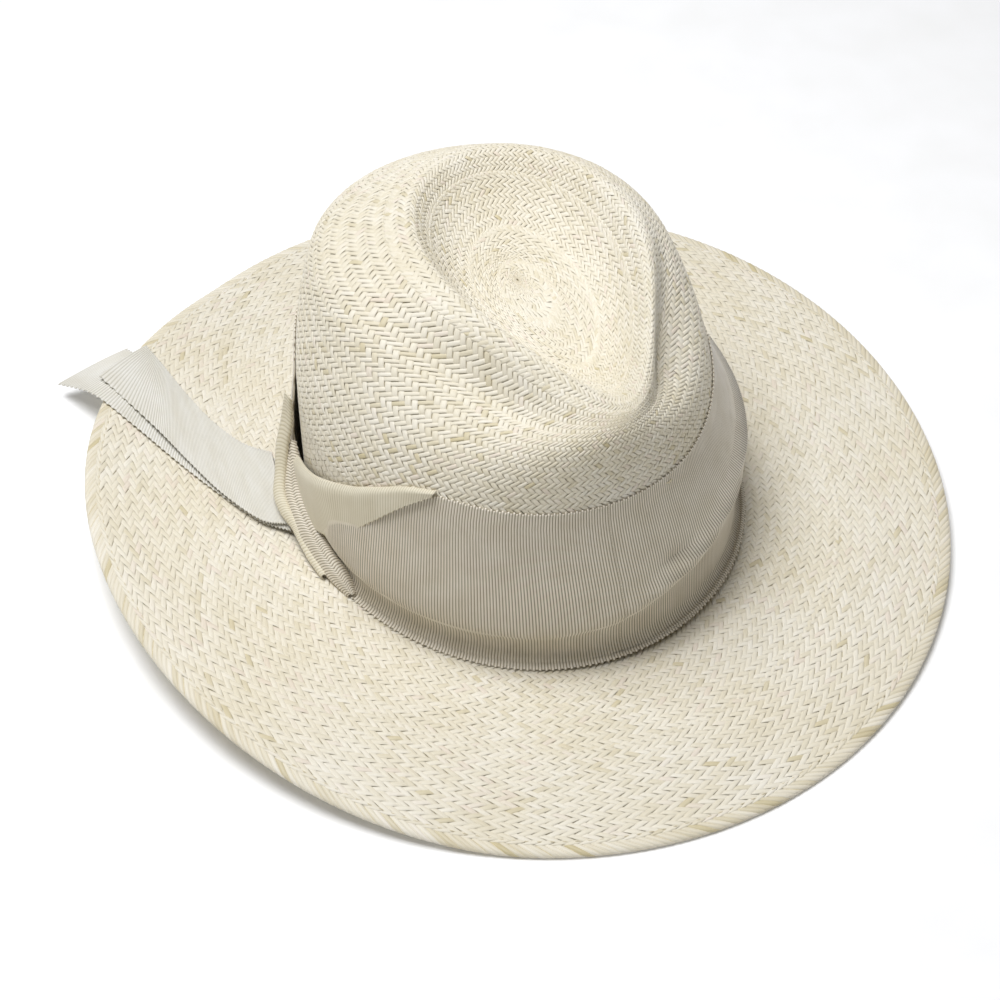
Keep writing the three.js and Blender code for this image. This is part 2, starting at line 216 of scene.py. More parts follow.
def ring_points(angle):
    """Where every ring of the crown is at each angle."""
    front, back, side, low, high, middle, narrow, square, shift, pinch = CROWN.T
    c, s = np.cos(angle)[:, None], np.sin(angle)[:, None]
    fore, aft = np.maximum(c, 0) ** 2, np.maximum(-c, 0) ** 2
    from_front = np.abs((angle + math.pi) % (2 * math.pi) - math.pi)[:, None]
    pressed = pinch * np.exp(-(((from_front - PINCH_ANGLE) / PINCH_SPREAD) ** 2))
    waist = (1 - narrow * ((1 + c) / 2) ** 2) * (1 + square * aft) * (1 - pressed)
    return np.stack([
        shift + side * s * waist,
        (back - front) / 2 - (front + back) / 2 * c,
        FOOT + low * fore + high * aft + middle * s**2 - PINCH_DROP * pressed,
    ], -1)


def brim_point(angle, share):
    """A point of the brim's upper face: share is 0 at the crown's foot and 1 at the edge."""
    foot = np.stack([CROWN[0, 2] * np.sin(angle), -CROWN[0, 0] * np.cos(angle)], -1)
    edge = np.stack([HALF_WIDTH * np.sin(angle), -HALF_LENGTH * np.cos(angle)], -1)
    flat = foot + (edge - foot) * share[:, None]
    return np.column_stack([flat, brim_height(flat[:, 0], flat[:, 1])])


BRIM_START = FOOT_FILLET / (HALF_LENGTH - CROWN[0, 0])


def straw_point(angle, way):
    """The straw's upper face. The way is -1 at the brim's edge, 0 at the foot and TOP in the middle."""
    angle, way = [v.ravel() for v in np.broadcast_arrays(np.asarray(angle, float), way)]
    out = brim_point(angle, BRIM_START - (1 - BRIM_START) * np.minimum(way, 0))
    start = brim_point(angle, np.full(len(angle), BRIM_START))[:, None]
    end = np.broadcast_to(CROWN_MIDDLE, start.shape)
    rings = np.concatenate([start, ring_points(angle), end], 1)
    control = np.concatenate([2 * start - rings[:, 1:2], rings, 2 * end - rings[:, -2:-1]], 1)
    first = np.clip(way, 0, TOP - 1e-6).astype(int)
    t = np.clip(way, 0, TOP) - first
    weights = np.stack([(1 - t) ** 3, 3 * t**3 - 6 * t**2 + 4, -3 * t**3 + 3 * t**2 + 3 * t + 1, t**3], -1)
    four = np.take_along_axis(control, (first[:, None] + np.arange(4))[..., None], 1)
    up = (four * weights[..., None]).sum(1) / 6
    from_front = np.abs((angle + math.pi) % (2 * math.pi) - math.pi)
    across_it, along_it = (way - FURROW_WAY) / FURROW_BREADTH, (from_front - FURROW_ANGLE) / FURROW_SPREAD
    up[:, 2] -= FURROW_DEPTH * np.exp(-(across_it**2) - along_it**2)
    return np.where((way < 0)[:, None], out, up)


def straw_normal(angle, way):
    small = 0.004
    angle, way = [v.ravel() for v in np.broadcast_arrays(np.asarray(angle, float), way)]
    way = np.minimum(way, TOP - 3 * small)
    round_it = straw_point(angle + small, way) - straw_point(angle - small, way)
    up_it = straw_point(angle, way + small) - straw_point(angle, way - small)
    normal = np.cross(round_it, up_it)
    return normal / np.linalg.norm(normal, axis=1)[:, None]


def off_straw(angle, way, distance):
    """Points that stand off the straw's upper face, outwards."""
    return straw_point(angle, way) + straw_normal(angle, way) * np.ravel(distance)[:, None]


def mesh_object(name, points, faces, material, body="root", marks=None):
    """A smooth mesh from points in millimetres and four-cornered faces, riding on a body."""
    mesh = bpy.data.meshes.new(name)
    faces = np.asarray(faces, np.int32)
    mesh.vertices.add(len(points))
    mesh.vertices.foreach_set("co", (np.asarray(points) * MM).astype(np.float32).ravel())
    mesh.loops.add(faces.size)
    mesh.loops.foreach_set("vertex_index", faces.ravel())
    mesh.polygons.add(len(faces))
    mesh.polygons.foreach_set("loop_start", np.arange(0, faces.size, 4, dtype=np.int32))
    mesh.update(calc_edges=True)
    mesh.polygons.foreach_set("use_smooth", np.ones(len(faces), bool))
    for mark, values in (marks or {}).items():
        values = np.asarray(values, np.float32)
        kind = "FLOAT" if values.ndim == 1 else "FLOAT_VECTOR"
        attribute = mesh.attributes.new(mark, kind, "POINT")
        attribute.data.foreach_set("value" if values.ndim == 1 else "vector", values.ravel())
    mesh.materials.append(material)
    made = bpy.data.objects.new(name, mesh)
    collection.objects.link(made)
    if body:
        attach(made, body)
    return made


def grid_faces(rows, columns, ring=False, flip=False):
    """Faces of a grid of points, row after row; ring joins its last column to its first."""
    index = np.arange(rows * columns).reshape(rows, columns)
    if ring:
        index = np.column_stack([index, index[:, :1]])
    corners = [index[:-1, :-1], index[:-1, 1:], index[1:, 1:], index[1:, :-1]]
    return np.stack(corners[::-1] if flip else corners, -1).reshape(-1, 4)


def patches(points, faces_each):
    """Many small grids as one: points is (grids, points in each, 3)."""
    count, each = points.shape[:2]
    faces = (faces_each[None] + (np.arange(count) * each)[:, None, None]).reshape(-1, 4)
    return points.reshape(-1, 3), faces


def palm_straw():
    """Bleached toquilla palm straw, split and woven damp: matt, long-fibred, each straw its own shade."""
    material, tree, shader = new_material(
        "toquilla_palm_straw", {"Roughness": 0.52, "Specular IOR Level": 0.38, "Sheen Weight": 0.08}
    )
    tone = add(tree, "Attribute", {"attribute_name": "tone"})
    strand = add(tree, "Attribute", {"attribute_name": "strand"})  # across, along, and its own number
    stretched = {"vector_type": "POINT", "Scale": (9.0, 0.7, 1.0)}
    fibre_place = add(tree, "Mapping", stretched, {"Vector": strand.outputs["Vector"]})
    fibrous = {"Scale": 1.0, "Detail": 3.0, "Roughness": 0.6}
    fibre = add(tree, "TexNoise", fibrous, {"Vector": fibre_place.outputs["Vector"]})
    shade = ramp(tree, tone.outputs["Fac"], [
        (0.0, "#d2c7a4"), (0.14, "#dbd2b8"), (0.35, "#e5decb"), (0.62, "#ebe5d5"), (0.85, "#efeadd"),
        (1.0, "#e8ded0"),
    ])
    streak = ramp(tree, fibre.outputs["Fac"], [(0.25, "#dfd8c4"), (0.5, "#ffffff"), (0.8, "#fffefa")])
    colour = add(
        tree, "Mix", {"data_type": "RGBA", "blend_type": "MULTIPLY", 0: 0.45}, {6: shade, 7: streak}
    )
    geometry = add(tree, "NewGeometry")
    blotch = add(tree, "TexNoise", {"Scale": 22.0, "Detail": 2.0}, {"Vector": geometry.outputs["Position"]})
    patchy = add(tree, "Mix", {"data_type": "RGBA", "blend_type": "MULTIPLY", 0: 0.5}, {
        6: colour.outputs[2],
        7: ramp(tree, blotch.outputs["Fac"], [(0.3, "#f6f1e3"), (0.7, "#ffffff")]),
    })
    tree.links.new(patchy.outputs[2], shader.inputs["Base Color"])
    bump = add(tree, "Bump", {"Strength": 0.5, "Distance": 0.00006}, {"Height": fibre.outputs["Fac"]})
    tree.links.new(bump.outputs["Normal"], shader.inputs["Normal"])
    return material


def painted_shade_inner_straw():
    """The straws under the top ones, seen only in the gaps: the same palm, unpolished, its colour painted
    darker as shade.
    """
    material, tree, shader = new_material(
        "inner_palm_straw_painted_shade", {"Roughness": 0.75, "Specular IOR Level": 0.2}
    )
    geometry = add(tree, "NewGeometry")
    grain = add(tree, "TexNoise", {"Scale": 700.0, "Detail": 2.0}, {"Vector": geometry.outputs["Position"]})
    # Painted shade: both tones are darker than the top straw's, for the shade down in the gaps.
    tree.links.new(
        ramp(tree, grain.outputs["Fac"], [(0.3, "#bdb08c"), (0.7, "#d6caa8")]), shader.inputs["Base Color"]
    )
    bump = add(tree, "Bump", {"Strength": 0.6, "Distance": 0.0001}, {"Height": grain.outputs["Fac"]})
    tree.links.new(bump.outputs["Normal"], shader.inputs["Normal"])
    return material


STRAW = palm_straw()
# The inner straw's darker colour is painted shade, not a different straw.
INNER_PAINTED_SHADE = painted_shade_inner_straw()


def row_ways(start, end, pairs, gap):
    """The ways of a zone's rows of crossings: gap apart in millimetres, or half as far apart as the straws
    are round the hat, which keeps the weave square."""
    ways = np.linspace(start, end, 600)
    around = np.linspace(0, 2 * math.pi, 72, endpoint=False)
    points = straw_point(around[:, None], ways[None]).reshape(72, 600, 3)
    girth = np.linalg.norm(np.roll(points, -1, 0) - points, axis=2).sum(0)
    gaps = np.linalg.norm(np.diff(points, axis=1), axis=2).mean(0)
    spacing = gap or (girth[1:] + girth[:-1]) / 2 / (2 * pairs)
    rows = np.r_[0, np.cumsum(gaps / spacing)]
    last = max(4, 2 * round(rows[-1] / 2))
    return last, lambda row: np.interp(row, rows * last / rows[-1], ways)


# One float: where its points lie along it and across it, in straw widths, and how it is domed
FINE_ALONG = np.array([-1.25, -0.98, -0.45, 0.45, 0.98, 1.25])
FINE_ACROSS = np.array([-0.49, -0.42, -0.16, 0.16, 0.42, 0.49])
COARSE_ALONG = np.array([-1.25, -0.75, 0.75, 1.25])
COARSE_ACROSS = np.array([-0.48, 0.0, 0.48])
EDGE_DROP = 0.36  # share of the lift by which a straw's edges turn down


def weave(name, start, end, pairs, lift, gap=None, side=1, depth=0.0, fine=True, full=1.0):
    """Every float of one zone of the cloth: straws that pass over two others, then dive under two."""
    last, way_of = row_ways(start, end, pairs, gap)
    rows, columns = np.meshgrid(np.arange(0, last, 2), np.arange(0, 2 * pairs, 2), indexing="ij")
    rows, columns = rows.ravel(), columns.ravel()
    first, second = (rows - columns) // 2, (rows + columns) // 2
    offset = rng.normal(0, 0.03, (2, pairs))
    breadth = rng.uniform(0.93, 1.02, (2, pairs)) * full
    shade = np.clip(rng.normal(0.6, 0.14, (2, pairs)), 0, 1)
    shade[rng.random((2, pairs)) < 0.04] = 0.4
    along, across = FINE_ALONG if fine else COARSE_ALONG, FINE_ACROSS if fine else COARSE_ACROSS
    t, w = [v.ravel()[None] for v in np.meshgrid(along, across, indexing="ij")]
    leaning = (rows % 4 == 0)[:, None]
    a = first[:, None] + offset[0, first % pairs][:, None]
    b = second[:, None] + offset[1, second % pairs][:, None]
    own = np.where(leaning[:, 0], breadth[0, first % pairs], breadth[1, second % pairs])[:, None]
    stretch = 1 + rng.uniform(-0.07, 0.05, len(rows))[:, None]
    i = np.where(leaning, a + w * own, a + 0.5 + t * stretch)
    j = np.where(leaning, b + 0.5 + t * stretch, b + w * own)
    angle = (j - i) * math.pi / pairs
    way = way_of(np.clip(i + j, 0.0, last))
    reach = np.abs(t) / along[-1]
    arch = 1 - reach**3.2
    edge = np.clip((np.abs(w) - 0.4) / 0.09, 0, 1) if fine else 0 * w
    rise = lift * (0.9 * arch - 0.18 * (2 * w) ** 2 - EDGE_DROP * edge - 0.35)
    rise = side * (rise + lift * rng.normal(0, 0.06, len(rows))[:, None]) - depth
    grid = off_straw(angle, way, rise).reshape(len(rows), t.size, 3)
    points, faces = patches(grid, grid_faces(len(along), len(across), flip=side > 0))
    own_shade = np.where(leaning[:, 0], shade[0, first % pairs], shade[1, second % pairs])
    own_shade = np.clip(own_shade + rng.normal(0, 0.09, len(rows)), 0, 1)
    odd = rng.random(len(rows))
    own_shade = np.where(odd < 0.006, 0.1, np.where(odd > 0.992, 1.0, own_shade))
    strand = np.stack(
        np.broadcast_arrays(w * 1.0, t * 1.0, rng.uniform(0, 400, len(rows))[:, None]), -1
    ).reshape(-1, 3)
    return mesh_object(
        name, points, faces, STRAW, marks={"tone": np.repeat(own_shade, t.size), "strand": strand}
    )


# The cloth's zones from the edge to the middle, each lapping a little over the next
HEM_WAY = -(1 - HEM_SHARE - BRIM_START) / (1 - BRIM_START)
BAND_WAY = 3.55  # the cloth above here is in sight
UNDER = 1.25  # from the upper face to the lower straws
BRIM_PAIRS = 210
WALL_PAIRS = 182
weave("brim_weave_outer", HEM_WAY - 0.012, -0.44, BRIM_PAIRS, 0.46, gap=1.2)
weave("brim_weave_inner", -0.465, 0.35, BRIM_PAIRS, 0.44, gap=1.2)
weave("crown_weave_covered", 0.3, BAND_WAY + 0.03, WALL_PAIRS, 0.45, gap=1.3, fine=False)
weave("crown_weave_side", BAND_WAY, 7.0, WALL_PAIRS, 0.58, gap=1.25, full=0.96)
weave("crown_weave_rim", 6.8, 8.55, 150, 0.46, gap=1.0, full=0.96)
weave("crown_weave_dent", 8.4, 9.7, 96, 0.4, gap=0.95, full=0.96)
weave("crown_weave_button", 9.55, 10.5, 48, 0.36, gap=0.9, full=0.96)
weave("crown_weave_middle", 10.36, TOP - 0.02, 24, 0.3, full=0.96)


def straw_base():
    """The body of the cloth between its upper and lower straws, as one closed shell, in the inner straw
    painted darker as the shade seen through the gaps.
    """
    sides = 240
    around = np.linspace(0, 2 * math.pi, sides, endpoint=False)
    ways = np.r_[np.linspace(HEM_WAY, -0.02, 22), np.linspace(0, TOP - 0.01, 80)]
    angle, way = np.meshgrid(around, ways)
    upper = off_straw(angle, way, np.full(angle.size, -0.42))
    lower = off_straw(angle, way, np.full(angle.size, -1.0))
    count = len(ways)
    below = count * sides  # from a point of the upper sheet to the one under it
    rim = np.arange(sides)
    rim_next = np.roll(rim, -1)
    tip, tip_next = rim + below - sides, rim_next + below - sides
    faces = np.concatenate([
        grid_faces(count, sides, ring=True),
        grid_faces(count, sides, ring=True, flip=True) + below,
        np.stack([rim, rim + below, rim_next + below, rim_next], -1),
        np.stack([tip, tip_next, tip_next + below, tip + below], -1),
    ])
    return mesh_object("straw_base", np.concatenate([upper, lower]), faces, INNER_PAINTED_SHADE)


base = straw_base()
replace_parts(base, "straw_body")

for name, start, end, pairs, lift, gap in [
    ("brim_weave_under_outer", HEM_WAY - 0.012, -0.44, BRIM_PAIRS, 0.4, 1.2),
    ("brim_weave_under_inner", -0.45, 0.35, BRIM_PAIRS, 0.4, 1.2),
    ("crown_weave_inside", 0.3, 7.0, WALL_PAIRS, 0.4, 1.3),
    ("crown_weave_inside_rim", 6.97, 8.55, 150, 0.3, None),
    ("crown_weave_inside_dent", 8.52, 9.7, 84, 0.3, None),
    ("crown_weave_inside_button", 9.68, TOP - 0.02, 44, 0.3, None),
]:
    weave(name, start, end, pairs, lift, gap, side=-1, depth=UNDER, fine=False)

# ---------------------------------------------------------------- the brim's hem
# The brim's edge is turned under and its straws are woven back into it, so that slanting straws wrap over
# the fold. A thread sewn through both layers runs in the groove inside it.
HEM_WRAPS = 330
HEM_BREADTH = 5.2
HEM_SIDES = 5
HEM_LEAN = math.radians(3.0)  # how far round the hat a straw gets between the groove and the edge
# Across the hem, from the groove over the edge and back below: share of its breadth, and height
HEM_LINE = np.array([
    (-0.06, -0.75), (0.05, -0.2), (0.25, 0.14), (0.62, 0.14), (0.9, -0.1), (1.0, -0.8), (1.0, -1.35),
    (0.9, -1.95), (0.6, -2.15), (0.2, -2.1), (-0.05, -1.7),
])


def hem_point(angle, share, height):
    """A point of the hem: share is 0 at its groove and 1 at the brim's edge."""
    point = brim_point(angle, 1 - HEM_SHARE * (1 - share))
    point[:, 2] = np.maximum(point[:, 2] + height, 0.04)
    return point


def brim_hem():
    """The slanting straws that wrap over the edge, each domed across."""
    across = np.array([-0.56, -0.44, 0.0, 0.44, 0.56])
    doming = np.array([-0.5, -0.06, 0.16, -0.06, -0.5])
    wrap, line, side = np.meshgrid(
        np.arange(HEM_WRAPS), np.arange(len(HEM_LINE)), np.arange(HEM_SIDES), indexing="ij"
    )
    share, height = HEM_LINE[line, 0], HEM_LINE[line, 1]
    reach = np.cumsum(np.r_[0, np.hypot(*np.diff(HEM_LINE * (HEM_BREADTH, 1), axis=0).T)])
    along = reach[line] / reach[-1]
    turn = 2 * math.pi / HEM_WRAPS
    angle = (wrap + rng.normal(0, 0.05, HEM_WRAPS)[wrap] + across[side]) * turn + HEM_LEAN * along * 2
    outwards = np.where(share > 0.9, doming[side] * 0.05, 0) / HEM_SHARE
    lift = doming[side] * np.where(height < -1, -1, 1) * np.where(share > 0.95, 0, 1)
    points = hem_point(angle.ravel(), (share + outwards * 0.08).ravel(), (height + lift).ravel())
    points = points.reshape(HEM_WRAPS, -1, 3)
    points, faces = patches(points, grid_faces(len(HEM_LINE), HEM_SIDES, flip=True))
    shade = np.clip(rng.normal(0.42, 0.2, HEM_WRAPS), 0, 1)
    each = len(HEM_LINE) * HEM_SIDES
    strand = np.stack([across[side], along * 4, rng.uniform(0, 400, HEM_WRAPS)[wrap]], -1).reshape(-1, 3)
    return mesh_object(
        "brim_hem", points, faces, STRAW, marks={"tone": np.repeat(shade, each), "strand": strand}
    )


brim_hem()


def hem_core():
    """The folded straw inside the hem, which closes it between its wraps; it wears the inner straw, painted
    darker as shade.
    """
    sides, rows = 360, len(HEM_LINE) + 1
    angle, line = np.meshgrid(np.linspace(0, 2 * math.pi, sides, endpoint=False), np.arange(rows))
    share, height = HEM_LINE[line % len(HEM_LINE)].transpose(2, 0, 1)
    narrower, flatter = 0.5 + (share - 0.5) * 0.93, -1 + (height + 1) * 0.72
    points = hem_point(angle.ravel(), narrower.ravel(), flatter.ravel())
    return mesh_object("hem_core", points, grid_faces(rows, sides, ring=True), INNER_PAINTED_SHADE)


hem_core()


def sewing_thread():
    """Two-ply cotton sewing thread, waxed: the plies show as a fine twist."""
    material, tree, shader = new_material("cotton_sewing_thread", {"Roughness": 0.7, "Sheen Weight": 0.2})
    geometry = add(tree, "NewGeometry")
    ply = add(tree, "TexWave", {"Scale": 900.0, "Distortion": 1.5}, {"Vector": geometry.outputs["Position"]})
    tree.links.new(
        ramp(tree, ply.outputs["Fac"], [(0.2, "#cbbf9f"), (0.8, "#e6dcc2")]), shader.inputs["Base Color"]
    )
    bump = add(tree, "Bump", {"Strength": 0.5, "Distance": 0.0001}, {"Height": ply.outputs["Fac"]})
    tree.links.new(bump.outputs["Normal"], shader.inputs["Normal"])
    return material


THREAD = sewing_thread()
THREAD_STEPS, THREAD_SIDES = 7, 6  # rings along a stitch, and points round each


def tube_points(line, radius, sides):
    """Rings of points round a line, (points, sides, 3)."""
    ahead = np.gradient(line, axis=0)
    ahead /= np.linalg.norm(ahead, axis=1)[:, None]
    side = np.cross(ahead, (0, 0, 1))
    side /= np.linalg.norm(side, axis=1)[:, None]
    up = np.cross(side, ahead)
    turn = np.linspace(0, 2 * math.pi, sides, endpoint=False)[None, :, None]
    radius = np.reshape(radius, (-1, 1, 1))
    return line[:, None] + radius * (np.cos(turn) * side[:, None] + np.sin(turn) * up[:, None])


def stitches(name, over, under, length, gap, radius):
    """Stitches along a closed line: bowed pieces of thread that rise to one line and end on the other."""
    steps = np.r_[0, np.cumsum(np.linalg.norm(np.diff(over, axis=0), axis=1))]
    count = int(steps[-1] / (length + gap))
    starts = np.arange(count) * steps[-1] / count
    local = np.linspace(0, 1, THREAD_STEPS)
    places = starts[:, None] + local[None] * length
    high, low = [
        np.stack([np.interp(places, steps, line[:, i]) for i in range(3)], -1) for line in (over, under)
    ]
    line = low + (high - low) * np.sin(local * math.pi)[None, :, None]
    rings = np.stack([tube_points(one, radius, THREAD_SIDES) for one in line])
    rings = rings.reshape(count, THREAD_STEPS * THREAD_SIDES, 3)
    points, faces = patches(rings, grid_faces(THREAD_STEPS, THREAD_SIDES, ring=True, flip=True))
    return mesh_object(name, points, faces, THREAD)


around = np.linspace(0, 2 * math.pi, 1441)
groove = hem_point(around, np.full(len(around), -0.1), np.full(len(around), 0.12))
hem_stitches = stitches("hem_stitches", groove, groove - (0, 0, 0.45), 2.4, 2.0, 0.24)
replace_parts(hem_stitches, "brim_stitch")

# ---------------------------------------------------------------- the ribbon band
# A wide petersham ribbon, cotton and viscose, ribbed across its length, with a looped picot along both
# edges. It is drawn round the crown, its lower edge spread on the brim, and slack folds stand off the wall.
RIB_PITCH = 1.25
RIB_HEIGHT = 0.36
RIBBON = 0.45
RIB_STEPS = 4  # points to a rib
PICOT = 0.6  # how far a loop of the edge stands out; each loop joins two ribs
BAND_LOW_WAY = 0.0
BAND_GAP = 0.7  # from the straw's face to the middle of the ribbon


def petersham(name, light, groove_painted_shade, weft):
    """Petersham ribbon: silky warp over a cotton weft cord. Its colour is painted light on every rib's crest
    (painted sheen) and darker in the grooves between ribs (painted shade).
    """
    material, tree, shader = new_material(name, {
        "Roughness": 0.5, "Specular IOR Level": 0.35, "Sheen Weight": 0.25, "Sheen Roughness": 0.4,
    })
    weave_place = add(tree, "Attribute", {"attribute_name": "weave"})  # along and across, millimetres
    split = add(tree, "SeparateXYZ", links={"Vector": weave_place.outputs["Vector"]})
    rib = add(tree, "Math", {"operation": "MULTIPLY", 1: 2 * math.pi / RIB_PITCH}, {0: split.outputs["X"]})
    rib = add(tree, "Math", {"operation": "COSINE"}, {0: rib.outputs[0]})
    rib = add(tree, "MapRange", {"From Min": -1.0, "From Max": 1.0}, {"Value": rib.outputs[0]})
    # Painted light: from painted shade in each rib's groove, through the weft's colour, to a painted highlight
    # on its crest.
    colour = ramp(tree, rib.outputs["Result"], [(0.0, groove_painted_shade), (0.35, weft), (1.0, light)])
    # The warp is really 0.1 mm; it is drawn 0.3 mm so that it shows
    warp_bands = {"bands_direction": "Y", "Scale": 1.05, "Distortion": 0.6, "Detail": 2.0}
    warp = add(tree, "TexWave", warp_bands, {"Vector": weave_place.outputs["Vector"]})
    slub = add(tree, "TexNoise", {"Scale": 0.09, "Detail": 3.0}, {"Vector": weave_place.outputs["Vector"]})
    slubbed = add(tree, "Mix", {"data_type": "RGBA", "blend_type": "MULTIPLY", 0: 0.6}, {
        6: colour, 7: ramp(tree, slub.outputs["Fac"], [(0.3, "#efece4"), (0.7, "#ffffff")]),
    })
    warped = add(tree, "Mix", {"data_type": "RGBA", "blend_type": "MULTIPLY", 0: 0.14}, {
        6: slubbed.outputs[2], 7: ramp(tree, warp.outputs["Fac"], [(0.1, "#e6e1d6"), (0.6, "#ffffff")]),
    })
    tree.links.new(warped.outputs[2], shader.inputs["Base Color"])
    bump = add(tree, "Bump", {"Strength": 0.35, "Distance": 0.00008}, {"Height": warp.outputs["Fac"]})
    tree.links.new(bump.outputs["Normal"], shader.inputs["Normal"])
    return material


GREIGE = petersham("petersham_greige", "#f3ecdf", "#968b74", "#ddd5c4")  # the ribbon's ribbed face


def ribbon_rows(width, inner):
    """Places across a ribbon: close together at its edges, where the picot is."""
    edge = np.array([0, 0.35, 0.8, 1.4])
    middle = np.linspace(1.4, width - 1.4, inner + 2)[1:-1] if np.ndim(inner) == 0 else inner
    return np.r_[edge, middle, width - edge[::-1]] / width


def woven_ribbon(name, face, length, width, material, inner=10, ring=False, body="root", ribbed=1.0):
    """A ribbon as a thin closed sheet. face(u, v) gives its middle, along and across, in millimetres."""
    ribs = 2 * round(length / RIB_PITCH / 2)
    columns = ribs * RIB_STEPS + (0 if ring else 1)
    u = np.arange(columns) / (ribs * RIB_STEPS)
    v = ribbon_rows(width, inner)
    middle = face(u, v)
    if ring:
        along = (np.roll(middle, -1, 0) - np.roll(middle, 1, 0)) / 2
    else:
        along = np.gradient(middle, axis=0)
    across = np.gradient(middle, v * width, axis=1)
    normal = np.cross(along, across)
    normal /= np.linalg.norm(normal, axis=2)[..., None] + 1e-12
    phase = 2 * math.pi * ribs * u
    rib = np.cos(phase)[:, None] * np.ones(len(v))
    loop = (0.5 + 0.5 * np.cos(phase / 2))[:, None]  # one loop to two ribs
    outwards = across / (np.linalg.norm(across, axis=2)[..., None] + 1e-12)
    shift = np.zeros((columns, len(v)))
    shift[:, :1] = -PICOT * loop
    shift[:, -1:] = PICOT * loop
    shift[:, 1:2] = -PICOT * 0.5 * loop
    shift[:, -2:-1] = PICOT * 0.5 * loop
    middle = middle + outwards * shift[..., None]
    thick = np.full((columns, len(v)), RIBBON / 2) + ribbed * RIB_HEIGHT / 2 * rib
    thick[:, (1, -2)] = RIBBON / 2 + 0.12 * loop
    thick[:, (0, -1)] = 0.1 + 0.14 * loop
    front = middle + normal * thick[..., None]
    reverse = middle - normal * thick[..., None]
    loop_of = np.concatenate([front, reverse[:, ::-1]], 1)  # one closed line round each cross-section
    count = loop_of.shape[1]
    faces = grid_faces(columns, count, ring=True)
    if ring:
        last, first = np.arange(count) + (columns - 1) * count, np.arange(count)
        faces = np.concatenate([faces, np.stack([last, np.roll(last, -1), np.roll(first, -1), first], -1)])
    else:
        half = count // 2
        for start, flip in ((0, True), ((columns - 1) * count, False)):
            i = np.arange(half - 1)
            cap = np.stack([i, i + 1, count - 2 - i, count - 1 - i], -1) + start
            faces = np.concatenate([faces, cap[:, ::-1] if flip else cap])
    places = np.concatenate([v, v[::-1]]) * width
    weave_mark = np.stack(np.broadcast_arrays(
        (u * ribs * RIB_PITCH)[:, None], places[None], np.zeros((columns, count))), -1).reshape(-1, 3)
    return mesh_object(name, loop_of.reshape(-1, 3), faces, material, body, {"weave": weave_mark})


def smooth(values, low, high):
    """0 up to low and 1 from high on, eased between them; low may be the greater."""
    t = np.clip((values - low) / (high - low), 0, 1)
    return t * t * (3 - 2 * t)


def wall_way(angle, height):
    """The way at which the wall is that high over the foot."""
    low, high = np.full(np.shape(angle), 1.0), np.full(np.shape(angle), 6.0)
    for _ in range(24):
        middle = (low + high) / 2
        under = straw_point(angle, middle)[:, 2] < FOOT + height
        low, high = np.where(under, middle, low), np.where(under, high, middle)
    return low


# How far up the wall each way is on average, in millimetres along the straw
WALL_WAYS = np.linspace(0, 6, 240)
wall_angles = np.linspace(0, 2 * math.pi, 48, endpoint=False)
wall_lines = straw_point(wall_angles[:, None], WALL_WAYS[None]).reshape(len(wall_angles), len(WALL_WAYS), 3)
WALL_REACH = np.r_[0, np.cumsum(np.linalg.norm(np.diff(wall_lines, axis=1), axis=2).mean(0))]

# The band's upper edge dips under the turned-over flap, then rises steeply behind the knot
TOP_EDGE = [(-180, 72), (-114, 72), (-111, 62), (-108.5, 22), (-104, 18), (-90, 32), (-76, 45), (-63, 58),
            (-53, 67), (-45, 71.5), (-38, 72), (180, 72)]

# Degrees round the hat, and the heights of the groove under the low roll and of the crease over it
FOLDS = np.array([(-180, 10, 30), (-90, 10, 30), (-60, 10, 30), (-18, 12, 28), (-2, 15, 32), (14, 22, 35),
                  (29, 27, 37), (38, 30, 40), (60, 34, 46), (90, 34, 46), (130, 18, 36), (180, 10, 30)])


def band_face(u, v):
    """The band round the hat and up its wall. It stands off the straw by its folds."""
    degrees = (u * 360 + 180) % 360 - 180
    angle = np.radians(degrees)
    top = np.interp(degrees, *np.array(TOP_EDGE).T)
    low_reach = np.interp(BAND_LOW_WAY, WALL_WAYS, WALL_REACH)
    top_reach = np.interp(wall_way(angle, top), WALL_WAYS, WALL_REACH)
    reach = low_reach + v[None] * (top_reach - low_reach)[:, None]
    way = np.interp(reach, WALL_REACH, WALL_WAYS)
    up = reach - low_reach  # millimetres of ribbon above its lower edge
    d = degrees[:, None]
    groove, crease = [np.interp(d, FOLDS[:, 0], FOLDS[:, i]) + 3 for i in (1, 2)]
    left = smooth(d, -32, 30) * smooth(d, 165, 110)  # 1 where the ribbon is slackest, over the left temple
    front = smooth(d, -100, -62) * smooth(d, 150, 100)
    # The roll above the groove, steep below its ridge and easy above it
    ridge = groove + 8.5 + 1.5 * left
    above = np.maximum(0.7 * (crease - ridge) + 18 * (1 - left), 4.5)
    spread = np.where(up < ridge, 4.6 + 1.4 * left, above)
    roll = (0.8 + (4.2 + 2.4 * left) * front) * np.exp(-(((up - ridge) / spread) ** 2))
    # The slack over the crease, the spring where the band turns up behind the knot, and the spread foot
    slack = 3.4 * left * smooth(up, crease, crease + 8) * smooth(74 - up, 0, 30)
    spring = 3.4 * np.exp(-(((d + 112) / 5) ** 2)) * smooth(66 - up, 0, 40) * smooth(up, 2, 14)
    flare = front * 1.7 * np.exp(-(((up - 5) / 3.4) ** 2)) + left * front * 3 * smooth(12 - up, 0, 10)
    easing = smooth(up, 6, 12) * smooth(top[:, None] + 6 - up, 0, 14)
    off = BAND_GAP + flare + easing * (roll + slack) + spring
    grid_angle = np.broadcast_to(angle[:, None], way.shape)
    return off_straw(grid_angle, way, off).reshape(*way.shape, 3)


BAND_LENGTH = 606.0  # round the crown's foot
BAND_WIDTH = 80.0
